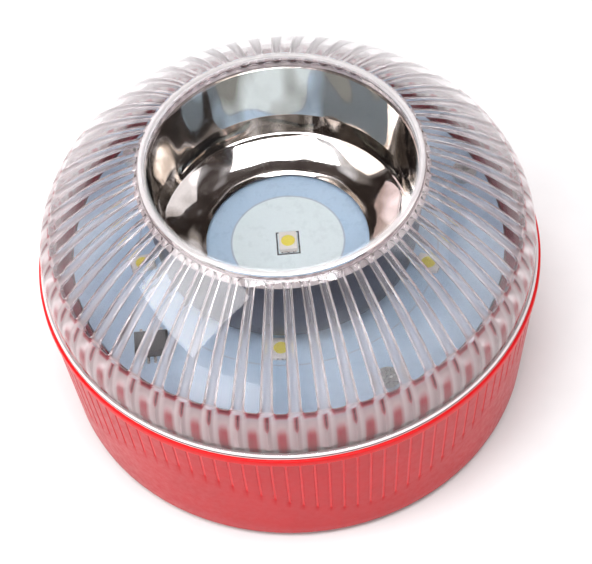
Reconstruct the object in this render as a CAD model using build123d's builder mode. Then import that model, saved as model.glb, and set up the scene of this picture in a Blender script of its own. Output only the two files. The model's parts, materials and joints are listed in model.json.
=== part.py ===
from build123d import *
from math import cos, radians, sin, sqrt
import os

os.makedirs("parts", exist_ok=True)

# A round battery-powered safety light that stands on the road or sticks to a car roof.
# Millimetres, +Z up, origin in the middle of the foot ring's underside.

# ---- heights ----
floor_low = 0.6  # underside of the housing, above the foot ring's face
floor_high = 2.6
seam_z = 25.6  # top of the housing, where the lens flange lies
board_low = 25.7
board_high = 27.3
reflector_high = 44.4

# ---- housing ----
foot_radius = 36.5
rim_radius = 38.8
wall = 2.2
rim_band = 1.2
groove_count = 114
groove_width = 0.5
groove_depth = 0.35
groove_middle = 12.7  # mean height of the grooves' lower ends below the seam
groove_wave = 5.0
foot_fillet = 0.9
cover_hole_radius = 29.85
foot_groove_radii = (33.0, 35.3)
foot_groove_depth = 0.4
boss_radius = 2.8
pilot_radius = 0.9
pilot_depth = 8.0

# ---- lens ----
lens_radius = 38.5
lens_side_radius = 38.1
lens_wall = 1.2
flange_height = 0.8
plug_radii = (35.1, 36.2)
plug_depth = 2.6
gasket_radii = (35.65, 36.35)
gasket_groove_radii = (35.6, 36.3)
gasket_height = 0.95
gasket_drop = 1.0  # below the seam
rib_count = 54
rib_width = 1.0
rib_depth = 0.85
rib_foot = 1.2  # above the seam
shoulder_radius = 8.43
shoulder_angle = 39.05
shoulder_z = 29.5
crown_radius = 48.8
window_radius = 20.5
lip_wall = 1.2
lip_low = 44.5
bead_width = 0.8
bead_height = 0.2
window_thickness = 1.2

# ---- reflector ----
reflector_wall = 0.6
reflector_top_radius = 20.2
reflector_edge_radius = 18.9
reflector_edge_z = 30.3
reflector_hole_radius = 12.5
reflector_hole_z = 28.0
bowl_middle = (16.2, 28.7)
peg_radius = 1.0
peg_high = 28.2
peg_reach = 0.5  # below the board's underside

# ---- board and what is on it ----
board_radius = 33.0
collar_radii = (33.2, 34.8)
collar_low = 20.0
collar_high = 27.5
collar_web = 2.6
snap_lip_radius = 35.7  # the lens plug clicks past this lip
snap_lip_low = 26.7
screw_circle = 30.2
screw_angles = (20, 140, 295)
peg_circle = 15.6
peg_angles = (0, 120, 240)
led_short = 2.8
led_long = 3.5
led_height = 0.7
phosphor_radius = 1.05
phosphor_seat = 0.3
phosphor_height = 0.25
phosphor_offset = 0.3
ring_led_circle = 22.9
ring_led_center = (0, 2.7)
ring_led_angles = (264, 336, 48, 120, 192)
torch_led_y = -0.5

# ---- battery bay ----
battery_low = 5.2
battery_length = 46.4
battery_width = 26.5
battery_height = 17.5
battery_back_x = -24.2
bay_low = 5.0
bay_high = 23.0
bay_wall = 1.2
bay_gap = 0.5

# ---- battery cover ----
cover_radius = 29.5
cover_flange_radius = 32.1
cover_flange = 1.0
lug_angles = (0, 120, 240)
lug_turn = 30
magnet_radius = 9.8
magnet_height = 3.0
magnet_low = 0.2
magnet_cup_radius = 10.7
magnet_cup_low = 0.15
magnet_cup_height = 3.85
magnet_cup_depth = 3.05
magnet_pocket_depth = 3.5
recess_y = 19.5
recess_depth = 1.2

# ---- button and switch, in the wall on the +Y side ----
button_z = 13.0
button_radius = 4.4
button_hole_radius = 4.65
button_face_y = 38.3
button_length = 4.2
button_flange_radius = 5.4
button_flange_y = 34.6
button_stem_radius = 1.5
switch_plate_y = 26.4
switch_plate_low = 7.0
switch_plate_width = 14.0
switch_plate_thickness = 1.2
switch_body_side = 6.0
switch_body_depth = 3.4
switch_body_face_y = switch_plate_y + switch_plate_thickness + switch_body_depth
plunger_radius = 1.7
plunger_face_y = 32.15


def housing_radius(z):
    """Outer radius of the tapered drum at a height."""
    return foot_radius + (rim_radius - foot_radius) * (z - floor_low) / (seam_z - floor_low)


def groove_foot(angle):
    """Height where a groove ends: a wave with four crests round the drum."""
    return seam_z - groove_middle - groove_wave * cos(radians(4 * (angle + 75)))


def arc_point(center, radius, angle):
    return (center[0] + radius * cos(radians(angle)), center[1] + radius * sin(radians(angle)))


def lens_points(inset, end_radius):
    """Points of the lens outline, moved inwards by inset: side, shoulder arc, crown arc."""
    shoulder_center = (lens_side_radius - shoulder_radius, shoulder_z)
    joint = arc_point(shoulder_center, shoulder_radius, shoulder_angle)
    crown_center = arc_point(joint, -crown_radius, shoulder_angle)
    shoulder = shoulder_radius - inset
    crown = crown_radius - inset
    crown_end = degrees_where(crown_center[0], crown, end_radius)
    crown_middle = (shoulder_angle + crown_end) / 2
    return [
        arc_point(shoulder_center, shoulder, 0),
        arc_point(shoulder_center, shoulder, shoulder_angle / 2),
        arc_point(shoulder_center, shoulder, shoulder_angle),
        arc_point(crown_center, crown, crown_middle),
        arc_point(crown_center, crown, crown_end),
    ]


def degrees_where(center_x, radius, x):
    """Angle at which an arc round (center_x, ...) reaches the distance x from the axis."""
    cosine = (x - center_x) / radius
    return Vector(cosine, sqrt(1 - cosine * cosine), 0).get_angle(Vector(1, 0, 0))


def save(builder, label):
    builder.part.label = label
    export_step(builder.part, f"parts/{label}.step")


# ---------------------------------------------------------------- base housing
with BuildPart() as cavity:
    with BuildSketch(Plane.XZ):
        with BuildLine():
            Polyline(
                (0, floor_high),
                (housing_radius(floor_high) - wall, floor_high),
                (housing_radius(seam_z) - wall, seam_z),
                (0, seam_z),
                close=True,
            )
        make_face()
    revolve(axis=Axis.Z)
    with BuildSketch(Plane.XY.offset(bay_low)) as bay_walls:
        for side in (-1, 1):
            with Locations((0, side * (battery_width / 2 + bay_gap + bay_wall / 2))):
                Rectangle(2 * rim_radius, bay_wall)
        with Locations((battery_back_x - bay_gap - bay_wall / 2, 0)):
            Rectangle(bay_wall, battery_width + 2 * bay_gap + bay_wall)
    extrude(amount=bay_high - bay_low, mode=Mode.SUBTRACT)
    with BuildSketch(Plane.XY.offset(bay_low)) as boss_webs:
        for angle in screw_angles:
            with Locations(arc_point((0, 0), screw_circle + 4, angle)):
                Rectangle(8.0, 2.0, rotation=angle)
    extrude(amount=collar_low - bay_low, mode=Mode.SUBTRACT)
    with BuildSketch(Plane.XY.offset(bay_low)) as bosses:
        for angle in screw_angles:
            with Locations(arc_point((0, 0), screw_circle, angle)):
                Circle(boss_radius)
    extrude(amount=board_low - bay_low, mode=Mode.SUBTRACT)
    with BuildSketch(Plane.XY.offset(bay_low)) as switch_rails:
        for side in (-1, 1):
            with Locations((side * 7.9, 31)):
                Rectangle(2.6, 12)
            with Locations((side * 6.7, switch_plate_y + 0.6)):
                Rectangle(0.9, 1.4, mode=Mode.SUBTRACT)
    extrude(amount=15, mode=Mode.SUBTRACT)


def groove_cutter(angle):
    """One upright groove, from under the rim band down to the wavy line."""
    low = groove_foot(angle)
    high = seam_z - rim_band
    with BuildPart() as cutter:
        with BuildSketch(Plane.XZ.rotated((0, 0, angle))):
            with BuildLine():
                Polyline(
                    (housing_radius(low) - groove_depth, low),
                    (housing_radius(high) - groove_depth, high),
                    (housing_radius(high) + 1, high),
                    (housing_radius(low) + 1, low),
                    close=True,
                )
            make_face()
        extrude(amount=groove_width / 2, both=True)
    return cutter.part


groove_pitch = 360 / groove_count
groove_cutters = [groove_cutter(number * groove_pitch) for number in range(groove_count)]

with BuildPart() as board_collar:
    with BuildSketch(Plane.XZ):
        with BuildLine():
            Polyline(
                (collar_radii[0], collar_low),
                (housing_radius(collar_low) - wall / 2, collar_low),
                (housing_radius(collar_low) - wall / 2, collar_low + collar_web),
                (collar_radii[1], collar_low + collar_web),
                (collar_radii[1], snap_lip_low),
                (snap_lip_radius, snap_lip_low + 0.3),
                (snap_lip_radius, collar_high - 0.3),
                (snap_lip_radius - 0.3, collar_high),
                (collar_radii[0], collar_high),
                close=True,
            )
        make_face()
    revolve(axis=Axis.Z)

with BuildPart() as base_housing:
    with BuildSketch(Plane.XZ):
        with BuildLine():
            Polyline(
                (0, floor_low),
                (foot_radius, floor_low),
                (housing_radius(seam_z - rim_band), seam_z - rim_band),
                (rim_radius + 0.1, seam_z - rim_band),
                (rim_radius + 0.1, seam_z),
                (0, seam_z),
                close=True,
            )
        make_face()
    revolve(axis=Axis.Z)
    fillet(base_housing.edges().filter_by(GeomType.CIRCLE).group_by(Axis.Z)[0], radius=foot_fillet)
    add(cavity.part, mode=Mode.SUBTRACT)
    add(board_collar.part)
    with BuildSketch(Plane.XY.offset(floor_low)) as cover_opening:
        Circle(cover_hole_radius)
        for angle in lug_angles:
            with Locations(arc_point((0, 0), cover_hole_radius - 0.6, angle + lug_turn)):
                Rectangle(4.4, 13.6, rotation=angle + lug_turn)
    extrude(amount=floor_high - floor_low, mode=Mode.SUBTRACT)
    with BuildSketch(Plane.XY.offset(floor_low)) as flange_recess:
        Circle(cover_flange_radius + 0.3)
    extrude(amount=cover_flange, mode=Mode.SUBTRACT)
    with BuildSketch(Plane.XY.offset(floor_low)) as foot_groove:
        Circle(foot_groove_radii[1])
        Circle(foot_groove_radii[0], mode=Mode.SUBTRACT)
    extrude(amount=foot_groove_depth, mode=Mode.SUBTRACT)
    with BuildSketch(Plane.XZ.offset(-rim_radius - 2)) as button_opening:
        with Locations((0, button_z)):
            Circle(button_hole_radius)
    extrude(amount=rim_radius - 31, mode=Mode.SUBTRACT)
    with BuildSketch(Plane.XY.offset(board_low)) as screw_pilots:
        for angle in screw_angles:
            with Locations(arc_point((0, 0), screw_circle, angle)):
                Circle(pilot_radius)
    extrude(amount=-pilot_depth, mode=Mode.SUBTRACT)
    add(groove_cutters, mode=Mode.SUBTRACT)
save(base_housing, "base_housing")

# ---------------------------------------------------------------- foot ring
with BuildPart() as foot_ring:
    with BuildSketch(Plane.XY):
        Circle(foot_groove_radii[1] - 0.1)
        Circle(foot_groove_radii[0] + 0.1, mode=Mode.SUBTRACT)
    extrude(amount=floor_low + foot_groove_depth)
    fillet(foot_ring.edges().group_by(Axis.Z)[0], radius=0.3)
save(foot_ring, "foot_ring")

# ---------------------------------------------------------------- lens cover
lip_radius = window_radius + lip_wall

with BuildPart() as lens_rib:
    with BuildSketch(Plane.XZ) as rib_face:
        outer = lens_points(lens_wall * 0.75, lip_radius - 0.2)
        inner = lens_points(lens_wall + rib_depth, lip_radius - 0.2)
        with BuildLine():
            Line((outer[0][0], seam_z + rib_foot), outer[0])
            ThreePointArc(outer[0], outer[1], outer[2])
            ThreePointArc(outer[2], outer[3], outer[4])
            Line(outer[4], inner[4])
            ThreePointArc(inner[4], inner[3], inner[2])
            ThreePointArc(inner[2], inner[1], inner[0])
            Line(inner[0], (inner[0][0], seam_z + rib_foot))
            Line((inner[0][0], seam_z + rib_foot), (outer[0][0], seam_z + rib_foot))
        make_face()
    extrude(amount=rib_width / 2, both=True)

with BuildPart() as lens_cover:
    with BuildSketch(Plane.XZ):
        outer = lens_points(0, window_radius + bead_width)
        inner = lens_points(lens_wall, lip_radius)
        window_high = outer[4][1]
        window_low = window_high - window_thickness
        with BuildLine():
            Polyline((0, window_low), (0, window_high), (window_radius, window_high))
            bead_middle = (window_radius + bead_width / 2, window_high + bead_height)
            ThreePointArc((window_radius, window_high), bead_middle, outer[4])
            ThreePointArc(outer[4], outer[3], outer[2])
            ThreePointArc(outer[2], outer[1], outer[0])
            Polyline(
                outer[0],
                (lens_side_radius, seam_z + flange_height),
                (lens_radius, seam_z + flange_height),
                (lens_radius, seam_z),
                (plug_radii[1], seam_z),
                (plug_radii[1], seam_z - plug_depth),
                (plug_radii[0], seam_z - plug_depth),
                (plug_radii[0], seam_z + flange_height),
                (inner[0][0], seam_z + flange_height),
                inner[0],
            )
            ThreePointArc(inner[0], inner[1], inner[2])
            ThreePointArc(inner[2], inner[3], inner[4])
            Polyline(
                inner[4],
                (lip_radius, lip_low),
                (window_radius, lip_low),
                (window_radius, window_low),
                (0, window_low),
            )
        make_face()
    revolve(axis=Axis.Z)
    with BuildSketch(Plane.XY.offset(seam_z - gasket_drop)) as gasket_groove:
        Circle(gasket_groove_radii[1])
        Circle(gasket_groove_radii[0], mode=Mode.SUBTRACT)
    extrude(amount=-gasket_height - 0.05, mode=Mode.SUBTRACT)
    with PolarLocations(0, rib_count):
        add(lens_rib.part)
save(lens_cover, "lens_cover")

with BuildPart() as lens_gasket:
    with BuildSketch(Plane.XY.offset(seam_z - gasket_drop)):
        Circle(gasket_radii[1])
        Circle(gasket_radii[0], mode=Mode.SUBTRACT)
    extrude(amount=-gasket_height)
save(lens_gasket, "lens_gasket")

# ---------------------------------------------------------------- reflector cup
with BuildPart() as reflector_cup:
    with BuildSketch(Plane.XZ):
        with BuildLine():
            ThreePointArc(
                (reflector_hole_radius, reflector_hole_z),
                bowl_middle,
                (reflector_edge_radius, reflector_edge_z),
            )
            Polyline(
                (reflector_edge_radius, reflector_edge_z),
                (reflector_edge_radius + 0.25, reflector_edge_z + 0.15),
                (reflector_top_radius, reflector_high),
                (reflector_top_radius + reflector_wall, reflector_high),
                (reflector_edge_radius + reflector_wall, reflector_edge_z - 0.3),
            )
            ThreePointArc(
                (reflector_edge_radius + reflector_wall, reflector_edge_z - 0.3),
                (bowl_middle[0] + 0.2, bowl_middle[1] - reflector_wall),
                (reflector_hole_radius, reflector_hole_z - reflector_wall),
            )
            Line(
                (reflector_hole_radius, reflector_hole_z - reflector_wall),
                (reflector_hole_radius, reflector_hole_z),
            )
        make_face()
    revolve(axis=Axis.Z)
    with BuildSketch(Plane.XY.offset(board_low - peg_reach)) as pegs:
        for angle in peg_angles:
            with Locations(arc_point((0, 0), peg_circle, angle)):
                Circle(peg_radius)
    extrude(amount=peg_high - board_low + peg_reach)
save(reflector_cup, "reflector_cup")

# ---------------------------------------------------------------- light board
with BuildPart() as light_board:
    with BuildSketch(Plane.XY.offset(board_low)):
        Circle(board_radius)
        for angle in screw_angles:
            with Locations(arc_point((0, 0), screw_circle, angle)):
                Circle(1.25, mode=Mode.SUBTRACT)
        for angle in peg_angles:
            with Locations(arc_point((0, 0), peg_circle, angle)):
                Circle(peg_radius + 0.1, mode=Mode.SUBTRACT)
    extrude(amount=board_high - board_low)
save(light_board, "light_board")

with BuildPart() as board_screws:
    for angle in screw_angles:
        with BuildSketch(Plane.XY.offset(board_high)):
            with Locations(arc_point((0, 0), screw_circle, angle)):
                Circle(1.9)
        extrude(amount=1.2)
        with BuildSketch(Plane.XY.offset(board_high)):
            with Locations(arc_point((0, 0), screw_circle, angle)):
                Circle(pilot_radius - 0.02)
        extrude(amount=-pilot_depth)
        with BuildSketch(Plane.XY.offset(board_high + 1.2)):
            with Locations(arc_point((0, 0), screw_circle, angle)):
                Rectangle(2.2, 0.5)
                Rectangle(0.5, 2.2)
        extrude(amount=-0.6, mode=Mode.SUBTRACT)
save(board_screws, "board_screws")

# ---------------------------------------------------------------- light-emitting diodes
with BuildPart() as torch_led:
    with BuildSketch(Plane.XY.offset(board_high)):
        with Locations((0, torch_led_y)):
            Rectangle(led_short, led_long)
    extrude(amount=led_height)
    with BuildSketch(Plane.XY.offset(board_high + led_height)):
        with Locations((0, torch_led_y + phosphor_offset)):
            Circle(phosphor_radius)
    extrude(amount=-phosphor_seat, mode=Mode.SUBTRACT)
save(torch_led, "torch_led")

with BuildPart() as torch_phosphor:
    with BuildSketch(Plane.XY.offset(board_high + led_height - phosphor_seat)):
        with Locations((0, torch_led_y + phosphor_offset)):
            Circle(phosphor_radius)
    extrude(amount=phosphor_height)
save(torch_phosphor, "torch_phosphor")

with BuildPart() as ring_leds:
    for angle in ring_led_angles:
        with BuildSketch(Plane.XY.offset(board_high)):
            with Locations(arc_point(ring_led_center, ring_led_circle, angle)):
                Rectangle(led_short, led_long, rotation=angle + 90)
        extrude(amount=led_height)
        with BuildSketch(Plane.XY.offset(board_high + led_height)):
            with Locations(arc_point(ring_led_center, ring_led_circle, angle)):
                Circle(phosphor_radius)
        extrude(amount=-phosphor_seat, mode=Mode.SUBTRACT)
save(ring_leds, "ring_leds")

with BuildPart() as ring_phosphors:
    for angle in ring_led_angles:
        with BuildSketch(Plane.XY.offset(board_high + led_height - phosphor_seat)):
            with Locations(arc_point(ring_led_center, ring_led_circle, angle)):
                Circle(phosphor_radius)
        extrude(amount=phosphor_height)
save(ring_phosphors, "ring_phosphors")

# ---------------------------------------------------------------- electronics
driver_chip_spot = (-21.5, -17.4)
driver_pin_rows = [(x, y) for x in (-1.5, -0.5, 0.5, 1.5) for y in (-2.55, 2.55)]

with BuildPart() as driver_chip:
    with BuildSketch(Plane.XY.offset(board_high + 0.1)):
        with Locations(driver_chip_spot):
            Rectangle(4.9, 3.9)
    extrude(amount=1.45)
    chamfer(driver_chip.edges().group_by(Axis.Z)[-1], length=0.25)
save(driver_chip, "driver_chip")

with BuildPart() as driver_pins:
    for pin_x, pin_y in driver_pin_rows:
        with BuildSketch(Plane.XY.offset(board_high)):
            with Locations((driver_chip_spot[0] + pin_x, driver_chip_spot[1] + pin_y)):
                Rectangle(0.4, 1.1)
        extrude(amount=0.25)
save(driver_pins, "driver_pins")

with BuildPart() as resistors:
    for number in range(6):
        with BuildSketch(Plane.XY.offset(board_low)):
            with Locations((-15 + 6 * number, 10)):
                Rectangle(1.25, 2.0)
        extrude(amount=-0.5)
save(resistors, "resistors")

with BuildPart() as capacitors:
    for x in (-12, -8):
        with BuildSketch(Plane.XY.offset(board_low)):
            with Locations((x, -9)):
                Rectangle(1.6, 3.2)
        extrude(amount=-1.2)
save(capacitors, "capacitors")

with BuildPart() as power_inductor:
    with BuildSketch(Plane.XY.offset(board_low)):
        with Locations((8, -9)):
            RectangleRounded(6, 6, 1.0)
    extrude(amount=-2.2)
save(power_inductor, "power_inductor")

with BuildPart() as polarity_diode:
    with BuildSketch(Plane.XY.offset(board_low)):
        with Locations((16, -4)):
            Rectangle(4.3, 2.6)
    extrude(amount=-2.0)
save(polarity_diode, "polarity_diode")

with BuildPart() as insulating_sheet:
    with BuildSketch(Plane.XY.offset(bay_high)):
        RectangleRounded(49, 29, 2)
    extrude(amount=0.4)
save(insulating_sheet, "insulating_sheet")

# ---------------------------------------------------------------- battery and its snap
battery_middle_z = battery_low + battery_height / 2
battery_front_x = battery_back_x + battery_length
terminal_y = 6.35

with BuildPart() as battery:
    with BuildSketch(Plane.YZ.offset(battery_back_x)):
        with Locations((0, battery_middle_z)):
            RectangleRounded(battery_width, battery_height, 2.2)
    extrude(amount=battery_length)
save(battery, "battery")

with BuildPart() as battery_terminals:
    with BuildSketch(Plane.YZ.offset(battery_front_x)):
        with Locations((terminal_y, battery_middle_z)):
            Circle(2.85)
        with Locations((-terminal_y, battery_middle_z)):
            RegularPolygon(3.9, 6)
    extrude(amount=2.1)
save(battery_terminals, "battery_terminals")

with BuildPart() as battery_snap:
    with BuildSketch(Plane.YZ.offset(battery_front_x + 0.2)):
        with Locations((0, battery_middle_z)):
            RectangleRounded(25, 12.5, 3)
        with Locations((terminal_y, battery_middle_z), (-terminal_y, battery_middle_z)):
            Circle(4.2, mode=Mode.SUBTRACT)
    extrude(amount=2.4)
    with BuildSketch(Plane.YZ.offset(battery_front_x + 3.0)):
        with Locations((0, battery_middle_z)):
            RectangleRounded(25, 12.5, 3)
    extrude(amount=-0.5)
save(battery_snap, "battery_snap")

with BuildPart() as snap_contacts:
    for y in (terminal_y, -terminal_y):
        with BuildSketch(Plane.YZ.offset(battery_front_x + 2.15)):
            with Locations((y, battery_middle_z)):
                Circle(3.6)
        extrude(amount=0.3)
save(snap_contacts, "snap_contacts")

lead_radius = 0.6
lead_bend = 2.2
lead_x = battery_front_x + 6.0


def lead(y):
    """An insulated lead from the snap's back, round one bend, up to the light board."""
    with BuildPart() as tube:
        with BuildLine() as route:
            FilletPolyline(
                (battery_front_x + 3.0, y, battery_middle_z),
                (lead_x, y, battery_middle_z),
                (lead_x, y, board_low),
                radius=lead_bend,
            )
        with BuildSketch(Plane(origin=(battery_front_x + 3.0, y, battery_middle_z), z_dir=(1, 0, 0))):
            Circle(lead_radius)
        sweep(path=route.wire())
    return tube


save(lead(terminal_y), "positive_lead")
save(lead(-terminal_y), "negative_lead")

# ---------------------------------------------------------------- battery cover with its magnet
with BuildPart() as battery_cover:
    with BuildSketch(Plane.XY.offset(floor_low)):
        Circle(cover_radius)
    extrude(amount=floor_high - floor_low)
    with BuildSketch(Plane.XY.offset(floor_low)) as flange:
        Circle(cover_flange_radius)
    extrude(amount=cover_flange)
    with BuildSketch(Plane.XY.offset(floor_high)) as cover_collar:
        Circle(29.3)
        Circle(27.9, mode=Mode.SUBTRACT)
    extrude(amount=1.5)
    with BuildSketch(Plane.XY.offset(floor_high)) as magnet_seat:
        Circle(12.0)
    extrude(amount=2.3)
    with BuildSketch(Plane.XY.offset(floor_high + 0.25)) as lugs:
        for angle in lug_angles:
            with Locations(arc_point((0, 0), 29.9, angle)):
                Rectangle(2.6, 12, rotation=angle)
    extrude(amount=1.25)
    with BuildSketch(Plane.XY.offset(floor_low)) as magnet_pocket:
        Circle(magnet_cup_radius + 0.1)
    extrude(amount=magnet_pocket_depth, mode=Mode.SUBTRACT)
    with BuildSketch(Plane.XY.offset(floor_low)) as finger_recesses:
        with Locations((0, recess_y), (0, -recess_y)):
            SlotOverall(20, 7)
    extrude(amount=recess_depth, mode=Mode.SUBTRACT)
    with BuildSketch(Plane.XY.offset(floor_low)) as grip_bars:
        for y in (-recess_y, recess_y):
            for x in (-5, 0, 5):
                with Locations((x, y)):
                    Rectangle(1.0, 5.6)
    extrude(amount=recess_depth)
    with BuildSketch(Plane.XY.offset(floor_low + 0.25)) as seal_groove:
        Circle(cover_flange_radius + 1)
        Circle(cover_flange_radius - 0.6, mode=Mode.SUBTRACT)
    extrude(amount=0.5, mode=Mode.SUBTRACT)
save(battery_cover, "battery_cover")

with BuildPart() as cover_seal:
    with BuildSketch(Plane.XY.offset(floor_low + 0.3)):
        Circle(cover_flange_radius + 0.15)
        Circle(cover_flange_radius - 0.55, mode=Mode.SUBTRACT)
    extrude(amount=0.4)
save(cover_seal, "cover_seal")

with BuildPart() as magnet_cup:
    with BuildSketch(Plane.XY.offset(magnet_cup_low)):
        Circle(magnet_cup_radius)
    extrude(amount=magnet_cup_height)
    with BuildSketch(Plane.XY.offset(magnet_cup_low)):
        Circle(magnet_radius + 0.1)
    extrude(amount=magnet_cup_depth, mode=Mode.SUBTRACT)
save(magnet_cup, "magnet_cup")

with BuildPart() as magnet:
    with BuildSketch(Plane.XY.offset(magnet_low)):
        Circle(magnet_radius)
    extrude(amount=magnet_height)
save(magnet, "magnet")

# ---------------------------------------------------------------- power button and switch
with BuildPart() as power_button:
    with BuildSketch(Plane.XZ.offset(-button_face_y)):
        with Locations((0, button_z)):
            Circle(button_radius)
    extrude(amount=button_length)
    with BuildSketch(Plane.XZ.offset(-button_flange_y)) as button_flange:
        with Locations((0, button_z)):
            Circle(button_flange_radius)
    extrude(amount=1.0)
    with BuildSketch(Plane.XZ.offset(-button_flange_y + 0.9)) as button_stem:
        with Locations((0, button_z)):
            Circle(button_stem_radius)
    extrude(amount=1.5)
    fillet(power_button.edges().filter_by(GeomType.CIRCLE).sort_by(Axis.Y)[-1], radius=0.5)
save(power_button, "power_button")

with BuildPart() as switch_board:
    with BuildSketch(Plane.XZ.offset(-switch_plate_y)):
        with Locations((0, (switch_plate_low + board_low) / 2)):
            Rectangle(switch_plate_width, board_low - switch_plate_low)
    extrude(amount=-switch_plate_thickness)
save(switch_board, "switch_board")

with BuildPart() as switch_body:
    with BuildSketch(Plane.XZ.offset(-switch_plate_y - switch_plate_thickness)):
        with Locations((0, button_z)):
            Rectangle(switch_body_side, switch_body_side)
    extrude(amount=-switch_body_depth)
    with BuildSketch(Plane.XZ.offset(-switch_body_face_y)) as plunger_hole:
        with Locations((0, button_z)):
            Circle(plunger_radius + 0.1)
    extrude(amount=1.2, mode=Mode.SUBTRACT)
save(switch_body, "switch_body")

with BuildPart() as switch_plunger:
    with BuildSketch(Plane.XZ.offset(-plunger_face_y)):
        with Locations((0, button_z)):
            Circle(plunger_radius)
    extrude(amount=plunger_radius)
save(switch_plunger, "switch_plunger")
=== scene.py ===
import bpy
import bmesh
import json
from math import acos, atan2, copysign, cos, pi, radians, sin, sqrt
from mathutils import Matrix, Vector

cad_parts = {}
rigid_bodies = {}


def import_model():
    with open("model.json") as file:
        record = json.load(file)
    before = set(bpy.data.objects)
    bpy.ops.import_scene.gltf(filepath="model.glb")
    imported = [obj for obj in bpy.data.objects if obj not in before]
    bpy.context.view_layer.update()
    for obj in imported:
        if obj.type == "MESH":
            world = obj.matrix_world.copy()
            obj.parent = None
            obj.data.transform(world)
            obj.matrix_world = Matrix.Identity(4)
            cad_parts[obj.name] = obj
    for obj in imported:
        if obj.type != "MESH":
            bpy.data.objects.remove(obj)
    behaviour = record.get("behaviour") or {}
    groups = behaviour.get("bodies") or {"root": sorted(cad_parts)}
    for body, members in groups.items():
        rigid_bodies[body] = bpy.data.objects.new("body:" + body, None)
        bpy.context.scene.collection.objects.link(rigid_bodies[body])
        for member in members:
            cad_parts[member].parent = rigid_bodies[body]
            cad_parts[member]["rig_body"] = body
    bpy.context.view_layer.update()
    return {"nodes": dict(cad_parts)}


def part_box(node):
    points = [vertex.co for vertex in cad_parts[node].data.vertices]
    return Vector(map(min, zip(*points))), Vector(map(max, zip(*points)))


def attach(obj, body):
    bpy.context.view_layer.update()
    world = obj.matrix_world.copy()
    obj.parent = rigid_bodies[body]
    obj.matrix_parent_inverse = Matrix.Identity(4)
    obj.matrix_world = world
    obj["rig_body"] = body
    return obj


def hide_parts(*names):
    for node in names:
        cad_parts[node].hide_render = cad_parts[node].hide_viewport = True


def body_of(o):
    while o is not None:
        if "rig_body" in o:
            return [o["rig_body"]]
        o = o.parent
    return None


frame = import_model()
MM = 0.001

# ---- places, read from the frame
lens_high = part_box("lens_cover")[1]
drum_low, drum_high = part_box("base_housing")
board_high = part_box("light_board")[1]
cup_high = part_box("reflector_cup")[1]
lamp_low, lamp_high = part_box("torch_led")
button_low, button_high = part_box("power_button")

SEAM_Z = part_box("lens_gasket")[1].z + 1.0 * MM
TOP_Z = lens_high.z
RIM_RADIUS = min(drum_high.x, -drum_low.x, drum_high.y, -drum_low.y)
FLANGE_RADIUS = lens_high.x
BOARD_TOP = board_high.z
BOARD_RADIUS = board_high.x
CUP_TOP = cup_high.z


# ---- mesh helpers
def polar(radius, angle, z):
    return (radius * cos(angle), radius * sin(angle), z)


def finish_mesh(name, vertices, faces, sharp_angle=35):
    """A mesh object with smooth faces and sharp edges where the surface turns quickly."""
    data = bpy.data.meshes.new(name)
    data.from_pydata(vertices, [], faces)
    data.validate()
    work = bmesh.new()
    work.from_mesh(data)
    bmesh.ops.recalc_face_normals(work, faces=work.faces)
    limit = radians(sharp_angle)
    for face in work.faces:
        face.smooth = True
    for edge in work.edges:
        if len(edge.link_faces) == 2 and edge.calc_face_angle(0) > limit:
            edge.smooth = False
    work.to_mesh(data)
    work.free()
    piece = bpy.data.objects.new(name, data)
    bpy.context.scene.collection.objects.link(piece)
    return piece


def ring_grid(rings, closed=False):
    """Faces between rings of equal length; closed also joins the last ring to the first."""
    count = len(rings[0])
    pairs = list(zip(rings, rings[1:]))
    if closed:
        pairs.append((rings[-1], rings[0]))
    faces = []
    for low, high in pairs:
        for i in range(count):
            j = (i + 1) % count
            faces.append((low[i], low[j], high[j], high[i]))
    return faces


def lathe(name, profile, steps=192, closed=True, sharp_angle=35):
    """A turned piece. profile is a list of (radius, z); a radius of 0 makes a point on the axis."""
    vertices = []
    faces = []
    rings = []
    for radius, z in profile:
        if radius < 1e-7:
            vertices.append((0, 0, z))
            rings.append([len(vertices) - 1])
        else:
            start = len(vertices)
            vertices += [polar(radius, 2 * pi * k / steps, z) for k in range(steps)]
            rings.append(list(range(start, start + steps)))
    pairs = list(zip(rings, rings[1:]))
    if closed and len(rings[0]) > 1 and len(rings[-1]) > 1:
        pairs.append((rings[-1], rings[0]))
    for low, high in pairs:
        for k in range(steps):
            m = (k + 1) % steps
            if len(low) == 1:
                faces.append((low[0], high[m], high[k]))
            elif len(high) == 1:
                faces.append((low[k], low[m], high[0]))
            else:
                faces.append((low[k], low[m], high[m], high[k]))
    return finish_mesh(name, vertices, faces, sharp_angle)


def arc(center, radius, start, end, steps):
    """Points on an arc in the (radius, z) plane, angles in degrees, both ends included."""
    points = []
    for k in range(steps + 1):
        angle = radians(start + (end - start) * k / steps)
        points.append((center[0] + radius * cos(angle), center[1] + radius * sin(angle)))
    return points


def smooth_step(t):
    t = min(max(t, 0.0), 1.0)
    return t * t * (3 - 2 * t)


def rising(value, start, width):
    """From 0 to 1 as the value goes from start over the width."""
    return smooth_step((value - start) / width)


def falling(value, start, width):
    """From 1 to 0 as the value goes from start over the width."""
    return 1 - smooth_step((value - start) / width)


# ---- the lens outline
SIDE_RADIUS = FLANGE_RADIUS - 0.4 * MM
SHOULDER_RADIUS = 8.43 * MM
SHOULDER_ANGLE = radians(39.05)
SHOULDER_Z = SEAM_Z + 3.9 * MM
CROWN_RADIUS = 48.8 * MM
FLANGE_HEIGHT = 0.8 * MM
WINDOW_RADIUS = 20.5 * MM
BEAD_WIDTH = 0.8 * MM
LIP_WALL = 1.2 * MM
LIP_LOW = SEAM_Z + 18.9 * MM
WINDOW_THICKNESS = 1.2 * MM
PLUG_DEPTH = 2.6 * MM
PLUG_RADII = (35.1 * MM, 36.2 * MM)

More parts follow.
